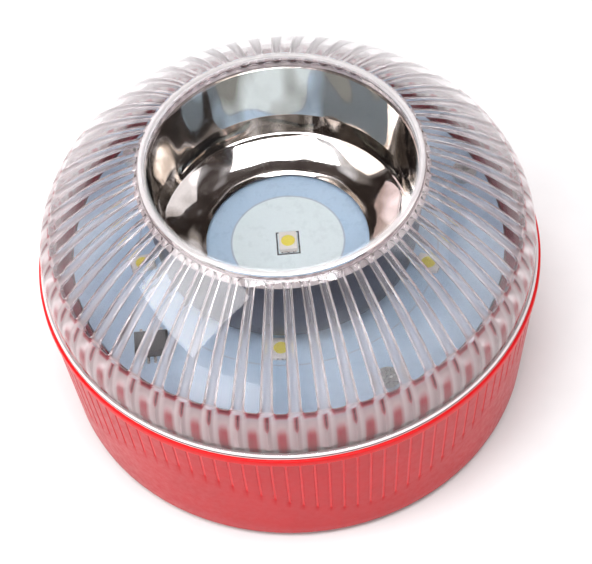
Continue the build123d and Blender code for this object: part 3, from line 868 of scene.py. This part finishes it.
# ---- materials
class Nodes:
    """A small wrapper for building a node material."""

    def __init__(self, name):
        self.material = bpy.data.materials.new(name)
        self.material.use_nodes = True
        self.tree = self.material.node_tree
        self.shader = self.tree.nodes["Principled BSDF"]

    def add(self, kind, **inputs):
        node = self.tree.nodes.new(kind)
        for key, value in inputs.items():
            if key in node.inputs:
                node.inputs[key].default_value = value
            else:
                setattr(node, key, value)
        return node

    def link(self, out, into):
        self.tree.links.new(out, into)

    def set(self, **values):
        for key, value in values.items():
            self.shader.inputs[key.replace("_", " ")].default_value = value

    def coords(self):
        return self.add("ShaderNodeTexCoord").outputs["Object"]

    def noise(self, scale, detail=3.0, roughness=0.5, vector=None):
        node = self.add("ShaderNodeTexNoise", Scale=scale, Detail=detail, Roughness=roughness)
        self.link(vector or self.coords(), node.inputs["Vector"])
        return node.outputs["Fac"]

    def ramp(self, value, low, high, at=(0.0, 1.0)):
        """Colour or grey from low to high as value goes through the two places."""
        node = self.add("ShaderNodeValToRGB")
        for element, color, place in zip(node.color_ramp.elements, (low, high), at):
            element.color = color if not isinstance(color, float) else (color, color, color, 1)
            element.position = place
        self.link(value, node.inputs["Fac"])
        return node.outputs["Color"]

    def math(self, operation, first, second=0.0):
        node = self.add("ShaderNodeMath", operation=operation)
        for socket, value in zip(node.inputs, (first, second)):
            if isinstance(value, float):
                socket.default_value = value
            else:
                self.link(value, socket)
        return node.outputs[0]

    def blend(self, first, second, share):
        """From the first colour to the second; either can be a socket or a plain colour."""
        node = self.add("ShaderNodeMix", data_type="RGBA")
        for socket, value in zip((node.inputs[6], node.inputs[7]), (first, second)):
            if isinstance(value, tuple):
                socket.default_value = value
            else:
                self.link(value, socket)
        self.link(share, node.inputs[0])
        return node.outputs[2]

    def feed(self, name, out):
        """Wires a value into one of the shader's inputs."""
        self.link(out, self.shader.inputs[name])

    def base_color(self):
        """What feeds the shader's colour so far."""
        return self.shader.inputs["Base Color"].links[0].from_socket

    def place(self):
        """The point's x, y and z."""
        node = self.add("ShaderNodeSeparateXYZ")
        self.link(self.coords(), node.inputs[0])
        return tuple(node.outputs)

    def stretched(self, scale):
        """The point with its axes scaled; a texture is drawn out along an axis that is scaled down."""
        node = self.add("ShaderNodeMapping", Scale=scale)
        self.link(self.coords(), node.inputs["Vector"])
        return node.outputs["Vector"]

    def bump(self, height, strength, distance):
        node = self.add("ShaderNodeBump", Strength=strength, Distance=distance)
        self.link(height, node.inputs["Height"])
        self.feed("Normal", node.outputs["Normal"])
        return node


def paint(target, material):
    """Gives one material to a piece, whatever slots it had."""
    target.data.materials.clear()
    target.data.materials.append(material)


def plastic(name, color, dark, roughness, grain=9000.0, bump=0.15, spread=0.08):
    """Moulded plastic: faint colour drift, uneven gloss and a fine grain."""
    nodes = Nodes(name)
    nodes.feed("Base Color", nodes.ramp(nodes.noise(120.0, 4.0), (*dark, 1), (*color, 1), (0.3, 0.6)))
    gloss = nodes.noise(900.0, 5.0, 0.6)
    nodes.feed("Roughness", nodes.ramp(gloss, roughness - spread, roughness + spread, (0.3, 0.7)))
    nodes.bump(nodes.noise(grain, 2.0), bump, GRAIN_HEIGHT)
    return nodes


def metal(name, color, dark, roughness, streak=(1.0, 1.0, 1.0), bump=0.3):
    """Plated or brushed metal: colour drift and streaks stretched along one axis."""
    nodes = Nodes(name)
    streaks = nodes.noise(2500.0, 4.0, 0.6, nodes.stretched(streak))
    nodes.feed("Base Color", nodes.ramp(nodes.noise(180.0, 4.0), (*dark, 1), (*color, 1), (0.35, 0.6)))
    nodes.feed("Roughness", nodes.ramp(streaks, roughness - 0.08, roughness + 0.12, (0.35, 0.7)))
    nodes.set(Metallic=1.0)
    nodes.bump(streaks, bump, GRAIN_HEIGHT)
    return nodes


GRAIN_HEIGHT = 0.02 * MM
CLEAR_COLOR = (0.985, 0.98, 0.985, 1)
RIB_COLOR = (0.66, 0.68, 0.73, 1)
SATIN_COLOR = (0.94, 0.865, 0.86, 1)
RED_REFLECTION_COLOR = (0.50, 0.001, 0.025, 1)
SHADE_COLOR = (0.05, 0.025, 0.03, 1)
SATIN_SHARE = 0.8
SATIN_ROUGHNESS = 0.22
LENS_TINT = (0.76, 0.44, 0.48, 1)
LENS_TINT_DENSITY = 58.0


def clear_lens_material():
    """Clear plastic, satin where the mesh says haze, and coloured by its tone; haze and tone also carry
    painted reflections, painted shade and a painted highlight.
    """
    nodes = Nodes("clear_polycarbonate")
    nodes.set(IOR=1.5)
    satin = nodes.add("ShaderNodeAttribute", attribute_name="haze").outputs["Fac"]
    tone = nodes.add("ShaderNodeAttribute", attribute_name="tone").outputs["Fac"]
    # the tone ramp runs from rib grey through pale satin and a painted red reflection of the drum to painted
    # shade
    tones = nodes.add("ShaderNodeValToRGB")
    tones.color_ramp.elements[0].color = RIB_COLOR
    tones.color_ramp.elements[1].color = SHADE_COLOR
    tones.color_ramp.elements.new(PALE_TONE).color = SATIN_COLOR
    tones.color_ramp.elements.new(RED_REFLECTION_TONE).color = RED_REFLECTION_COLOR
    nodes.link(tone, tones.inputs["Fac"])
    nodes.feed("Base Color", nodes.blend(CLEAR_COLOR, tones.outputs["Color"], satin))
    nodes.feed("Transmission Weight", nodes.ramp(satin, 1.0, 1.0 - SATIN_SHARE))
    wear = nodes.ramp(nodes.noise(700.0, 6.0, 0.65), 0.0, 0.05, (0.45, 0.75))
    nodes.feed("Roughness", nodes.math("ADD", nodes.math("MULTIPLY", satin, SATIN_ROUGHNESS), wear))
    nodes.bump(nodes.noise(260.0, 2.0), 0.05, 0.05 * MM)
    tint = nodes.add("ShaderNodeVolumeAbsorption", Color=LENS_TINT, Density=LENS_TINT_DENSITY)
    nodes.link(tint.outputs["Volume"], nodes.tree.nodes["Material Output"].inputs["Volume"])
    return nodes.material


CHROME_DULL = (0.30, 0.265, 0.23, 1)
CHROME_BRIGHT = (0.93, 0.91, 0.88, 1)
CHROME_WAVES = 3.2 * MM


def chrome_material():
    """Plating with an uneven tint and slow waves that fade towards the foot of the cup."""
    nodes = Nodes("vacuum_chrome")
    stretched = nodes.stretched((1.0, 1.0, 0.35))
    tint = nodes.noise(105.0, 2.0, 0.5, stretched)
    nodes.feed("Base Color", nodes.ramp(tint, CHROME_DULL, CHROME_BRIGHT, (0.44, 0.60)))
    nodes.set(Metallic=1.0)
    nodes.feed("Roughness", nodes.ramp(nodes.noise(1400.0, 5.0), 0.035, 0.12, (0.4, 0.8)))
    rise = nodes.math("DIVIDE", nodes.math("SUBTRACT", nodes.place()[2], BOARD_TOP), CUP_TOP - BOARD_TOP)
    waves = nodes.noise(75.0, 1.2, 0.5, stretched)
    nodes.bump(nodes.math("MULTIPLY", waves, nodes.ramp(rise, 0.35, 1.0, (0.18, 0.4))), 1.0, CHROME_WAVES)
    return nodes.material


def cup_back_material():
    """The back of the cup: dark blue-grey and a little metallic, a painted shade and painted dark reflection
    on the cup's outer wall.
    """
    nodes = plastic("cup_back", (0.065, 0.080, 0.120), (0.038, 0.048, 0.075), 0.35)
    nodes.set(Metallic=0.35)
    return nodes.material


RED = (0.45, 0.009, 0.014)
DARK_RED = (0.41, 0.008, 0.012)
GROOVE_HIGHLIGHT_RED = (0.66, 0.040, 0.045, 1)
RIM_RED = (0.60, 0.001, 0.003, 1)
COLLAR_RED_AND_SHADE = (0.21, 0.002, 0.022, 1)


def drum_material():
    """Red moulding: a painted highlight along the grooves, brighter in the rim band, and darker on the
    inside collar, partly a deeper red and partly painted shade.
    """
    nodes = plastic("drum_red", RED, DARK_RED, 0.36, bump=0.08)
    z = nodes.place()[2]
    edges = [1 - (RIM_BAND + side * 0.1 * MM) / SEAM_Z for side in (1, -1)]
    rim = nodes.ramp(nodes.math("DIVIDE", z, SEAM_Z), 0.0, 1.0, edges)
    groove = nodes.add("ShaderNodeAttribute", attribute_name="groove").outputs["Fac"]
    # paler red in the grooves: a painted highlight
    groove_highlight = nodes.blend(nodes.base_color(), GROOVE_HIGHLIGHT_RED, groove)
    banded = nodes.blend(groove_highlight, RIM_RED, rim)
    # the inside collar is darker: a deeper red and painted shade
    inside = nodes.ramp(nodes.math("DIVIDE", z, BOARD_TOP), 0.0, 1.0, (0.965, 0.975))
    nodes.feed("Base Color", nodes.blend(banded, COLLAR_RED_AND_SHADE, inside))
    nodes.set(Coat_Weight=0.05, Coat_Roughness=0.2, Specular_IOR_Level=0.2)
    return nodes.material


DISC_COLOR = (0.84, 0.98, 1.0, 1)
PRINT_AND_SHADOW_COLOR = (0.45, 0.54, 0.66, 1)
OUTLINE_COLOR = (0.05, 0.06, 0.07, 1)
DISC_RADIUS = 10 * MM
PRINT_AND_SHADOW_RADII = (8.7 * MM, 23.0 * MM)
OUTLINE_GAP = 0.28 * MM


def board_material():
    """Pale solder mask with a lighter disc round the torch lamp and thin printed outlines; the line at the
    disc's edge is a painted shadow of the cup's hole edge, and the darker mask round the disc inside the
    hole stands in for a painted reflection of the board in the cup.
    """
    nodes = plastic("board_mask", (0.53, 0.72, 0.90), (0.48, 0.68, 0.87), 0.30)
    math = nodes.math
    x, y, _ = nodes.place()
    square = math("ADD", math("POWER", x, 2.0), math("POWER", y, 2.0))
    reach = math("SQRT", square)
    # the lighter disc; the darker mask round it inside the cup's hole is a painted reflection
    disc = nodes.ramp(math("DIVIDE", reach, DISC_RADIUS), 1.0, 0.0, (0.86, 0.88))
    color = nodes.blend(nodes.base_color(), DISC_COLOR, disc)
    # the first ring is a painted shadow line at the cup hole's edge, the second is print
    for radius in PRINT_AND_SHADOW_RADII:
        off = math("ABSOLUTE", math("SUBTRACT", reach, radius))
        ring = nodes.ramp(math("DIVIDE", off, 0.4 * MM), 0.8, 0.0, (0.2, 0.45))
        color = nodes.blend(color, PRINT_AND_SHADOW_COLOR, ring)
    lamp_half = Vector((lamp_high.x - lamp_low.x, lamp_high.y - lamp_low.y)) / 2
    from_lamp = math("ABSOLUTE", math("SUBTRACT", y, (lamp_high.y + lamp_low.y) / 2))
    across = math("SUBTRACT", math("ABSOLUTE", x), lamp_half.x)
    along = math("SUBTRACT", from_lamp, lamp_half.y)
    edge = math("ABSOLUTE", math("SUBTRACT", math("MAXIMUM", across, along), OUTLINE_GAP))
    outline = nodes.ramp(math("DIVIDE", edge, 0.3 * MM), 1.0, 0.0, (0.25, 0.5))
    nodes.feed("Base Color", nodes.blend(color, OUTLINE_COLOR, outline))
    return nodes.material


COPPER = (0.62, 0.30, 0.13, 1)


def battery_material():
    """Printed steel jacket: a dark body with a plain coppery band at the terminal end, no lettering."""
    nodes = plastic("battery_jacket", (0.028, 0.032, 0.045), (0.016, 0.018, 0.026), 0.30)
    low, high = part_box("battery")
    share = nodes.math("DIVIDE", nodes.math("SUBTRACT", nodes.place()[0], low.x), high.x - low.x)
    band = nodes.ramp(share, 0.0, 1.0, (0.70, 0.705))
    nodes.feed("Base Color", nodes.blend(nodes.base_color(), COPPER, band))
    nodes.set(Metallic=0.35)
    return nodes.material


def fibre_material():
    """Pressed fibre: a coarse bump over the fine grain."""
    nodes = plastic("fibre_sheet", (0.74, 0.71, 0.60), (0.62, 0.58, 0.47), 0.6, 5000.0, 0.3)
    nodes.bump(nodes.noise(1400.0, 6.0, 0.7), 0.35, 0.06 * MM)
    return nodes.material


# what plastic() takes: name, colour, darker colour, roughness, then grain, bump and spread where they differ
PLASTICS = {
    "red": ("red_plastic", RED, DARK_RED, 0.40, 6000.0, 0.2),
    "lamp": ("lamp_resin", (0.88, 0.87, 0.83), (0.80, 0.79, 0.75), 0.35),
    "phosphor": ("lamp_phosphor", (0.92, 0.82, 0.14), (0.86, 0.74, 0.08), 0.30, 20000.0, 0.3),
    "black": ("black_epoxy", (0.022, 0.022, 0.024), (0.012, 0.012, 0.013), 0.45),
    "ceramic": ("ceramic_body", (0.42, 0.32, 0.22), (0.34, 0.25, 0.17), 0.4),
    "rubber": ("black_rubber", (0.035, 0.035, 0.036), (0.02, 0.02, 0.021), 0.62, 3500.0, 0.5, 0.14),
    "silicone": ("pale_silicone", (0.80, 0.78, 0.74), (0.70, 0.68, 0.64), 0.5),
    "button": ("button_rubber", (0.045, 0.045, 0.048), (0.026, 0.026, 0.028), 0.52, 4200.0, 0.45, 0.12),
    "snap": ("snap_vinyl", (0.03, 0.03, 0.032), (0.02, 0.02, 0.021), 0.42),
    "lead_red": ("lead_red_vinyl", (0.55, 0.02, 0.02), (0.45, 0.014, 0.014), 0.3),
    "lead_black": ("lead_black_vinyl", (0.02, 0.02, 0.02), (0.012, 0.012, 0.012), 0.3),
    "floor": ("floor_white", (0.76, 0.76, 0.76), (0.74, 0.74, 0.74), 0.8, 900.0),
}
# what metal() takes: name, colour, darker colour, roughness, then the stretch of its streaks and the bump
METALS = {
    "tin": ("tinned_copper", (0.74, 0.73, 0.71), (0.58, 0.57, 0.55), 0.28),
    "screw": ("zinc_screw", (0.70, 0.70, 0.68), (0.52, 0.53, 0.52), 0.30, (1.0, 1.0, 0.2)),
    "brass": ("contact_brass", (0.80, 0.62, 0.30), (0.62, 0.45, 0.20), 0.26),
    "nickel": ("magnet_nickel", (0.72, 0.71, 0.68), (0.60, 0.59, 0.56), 0.16, (1.0, 1.0, 1.0), 0.15),
    "cup_steel": ("zinc_pot", (0.62, 0.62, 0.63), (0.46, 0.46, 0.47), 0.34, (0.15, 1.0, 1.0)),
}


def main_materials():
    """Every material that more than one piece, or a piece with its CAD shape, can use."""
    made = {"board": board_material(), "battery": battery_material(), "fibre": fibre_material()}
    for key, values in PLASTICS.items():
        made[key] = plastic(*values).material
    for key, values in METALS.items():
        made[key] = metal(*values).material
    return made


# ---- build
materials = main_materials()


def place_piece(piece, node, material=None):
    """The piece stands for a CAD node: same body, the given material if there is one, and the CAD node
    hidden.
    """
    if material:
        paint(piece, material)
    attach(piece, body_of(frame["nodes"][node])[0])
    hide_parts(node)


place_piece(make_lens(), "lens_cover", clear_lens_material())
drum = make_drum()
cut_button_hole(drum)
place_piece(drum, "base_housing", drum_material())
place_piece(make_cup(), "reflector_cup")
place_piece(make_button(), "power_button", materials["button"])

for lamps, fillings in (("torch_led", "torch_phosphor"), ("ring_leds", "ring_phosphors")):
    places = lamp_places(lamps)
    packages, terminals = make_lamps(lamps + "_packages", places)
    place_piece(packages, lamps, materials["lamp"])
    packages.data.materials.append(materials["tin"])
    for index in terminals:
        packages.data.polygons[index].material_index = 1
    place_piece(make_phosphors(fillings + "_domes", places), fillings, materials["phosphor"])

# edge rounding in millimetres for the pieces that show, and each piece's material
WORKED_EDGES = {"battery_cover": 0.25, "foot_ring": 0.2, "magnet_cup": 0.12, "magnet": 0.15, "battery": 0.5}
NODE_MATERIALS = {
    "light_board": "board", "switch_board": "board", "driver_chip": "black", "driver_pins": "tin",
    "resistors": "black", "capacitors": "ceramic", "power_inductor": "black", "polarity_diode": "black",
    "board_screws": "screw", "lens_gasket": "silicone", "cover_seal": "rubber", "foot_ring": "rubber",
    "insulating_sheet": "fibre", "battery": "battery", "battery_terminals": "tin", "battery_snap": "snap",
    "snap_contacts": "brass", "positive_lead": "lead_red", "negative_lead": "lead_black",
    "battery_cover": "red", "magnet": "nickel", "magnet_cup": "cup_steel", "switch_body": "snap",
    "switch_plunger": "black",
}
for node_name, key in NODE_MATERIALS.items():
    if node_name in WORKED_EDGES:
        place_piece(refined(node_name, WORKED_EDGES[node_name] * MM), node_name, materials[key])
    else:
        paint(frame["nodes"][node_name], materials[key])


# ---- floor, lights and camera
FLOOR_SIZE = 3.0


def make_floor():
    """A plain pale floor, which stays out of the object."""
    bpy.ops.mesh.primitive_grid_add(x_subdivisions=4, y_subdivisions=4, size=FLOOR_SIZE)
    floor = bpy.context.object
    floor.name = "floor"
    paint(floor, materials["floor"])


def softbox(name, azimuth, elevation, distance, width, height, radiance, color):
    """A rectangle of even light, facing the object. Azimuth 0 is +X and 90 is +Y."""
    target = Vector((0, 0, SEAM_Z))
    level = cos(radians(elevation))
    direction = (cos(radians(azimuth)) * level, sin(radians(azimuth)) * level, sin(radians(elevation)))
    place = target + Vector(direction) * distance
    data = bpy.data.lights.new(name, "AREA")
    data.shape = "RECTANGLE"
    data.size = width
    data.size_y = height
    data.energy = radiance * pi * width * height
    data.color = color
    lamp = bpy.data.objects.new(name, data)
    lamp.location = place
    lamp.rotation_mode = "QUATERNION"
    lamp.rotation_quaternion = (target - place).to_track_quat("-Z", "Y")
    bpy.context.scene.collection.objects.link(lamp)
    return lamp


# azimuth and elevation in degrees, distance, width and height in metres, radiance, colour
SOFTBOXES = {
    "key_softbox": (-157, 48, 0.75, 0.46, 0.42, 5.0, (1, 1, 1)),
    "back_softbox": (125, 38, 0.9, 0.75, 0.45, 1.7, (1.0, 0.86, 0.87)),
    "top_softbox": (-90, 80, 0.9, 0.58, 0.40, 10.2, (0.96, 0.99, 1.0)),
    "front_softbox": (-118, 22, 0.9, 0.50, 0.26, 4.6, (1, 1, 1)),
    "right_softbox": (12, 42, 0.9, 0.45, 0.40, 1.1, (1, 1, 1)),
}
STUDIO_DARK = (0.05, 0.04, 0.036, 1)
STUDIO_PALE = (0.95, 0.98, 1.0, 1)
STUDIO_STRENGTH = 1.25


def make_lights():
    """Five softboxes and a mottled studio; the front one fills in without a reflection of its own."""
    lamps = {name: softbox(name, *values) for name, values in SOFTBOXES.items()}
    lamps["front_softbox"].visible_glossy = False
    world = bpy.data.worlds.new("studio")
    world.use_nodes = True
    bpy.context.scene.world = world
    tree = world.node_tree
    direction = tree.nodes.new("ShaderNodeTexCoord")
    patches = tree.nodes.new("ShaderNodeTexNoise")
    patches.inputs["Scale"].default_value = 1.7
    patches.inputs["Detail"].default_value = 1.5
    tree.links.new(direction.outputs["Generated"], patches.inputs["Vector"])
    shades = tree.nodes.new("ShaderNodeValToRGB")
    low, high = shades.color_ramp.elements
    low.position = 0.46
    low.color = STUDIO_DARK
    high.position = 0.58
    high.color = STUDIO_PALE
    tree.links.new(patches.outputs["Fac"], shades.inputs["Fac"])
    background = tree.nodes["Background"]
    tree.links.new(shades.outputs["Color"], background.inputs["Color"])
    background.inputs["Strength"].default_value = STUDIO_STRENGTH


CAMERA_ELEVATION = radians(52.48)
CAMERA_ROLL = radians(4.907)
CAMERA_PAN = radians(-0.191419)
CAMERA_TILT = radians(-0.863799)
CAMERA_DISTANCE = 8.863 * FLANGE_RADIUS
SENSOR_WIDTH = 36
LENS_LENGTH = 133.78378


def make_camera():
    """A long lens from the front, looking down, turned a little so that the object sits above the middle."""
    data = bpy.data.cameras.new("camera")
    data.sensor_width = SENSOR_WIDTH
    data.lens = LENS_LENGTH
    data.clip_start = 0.02
    data.clip_end = 20
    camera = bpy.data.objects.new("camera", data)
    bpy.context.scene.collection.objects.link(camera)
    forward = Vector((0, cos(CAMERA_ELEVATION), -sin(CAMERA_ELEVATION)))
    right = Vector((1, 0, 0))
    up = right.cross(forward)
    place = Vector((0, 0, SEAM_Z)) - forward * CAMERA_DISTANCE
    roll = Matrix.Rotation(CAMERA_ROLL, 3, forward)
    right = roll @ right
    up = roll @ up
    turn = Matrix.Rotation(CAMERA_PAN, 3, up)
    forward = turn @ forward
    right = turn @ right
    nod = Matrix.Rotation(CAMERA_TILT, 3, right)
    forward = nod @ forward
    up = nod @ up
    basis = Matrix((right, up, -forward)).transposed()
    camera.matrix_world = Matrix.Translation(place) @ basis.to_4x4()
    bpy.context.scene.camera = camera


make_floor()
make_lights()
make_camera()
bpy.context.scene.view_settings.view_transform = "Standard"
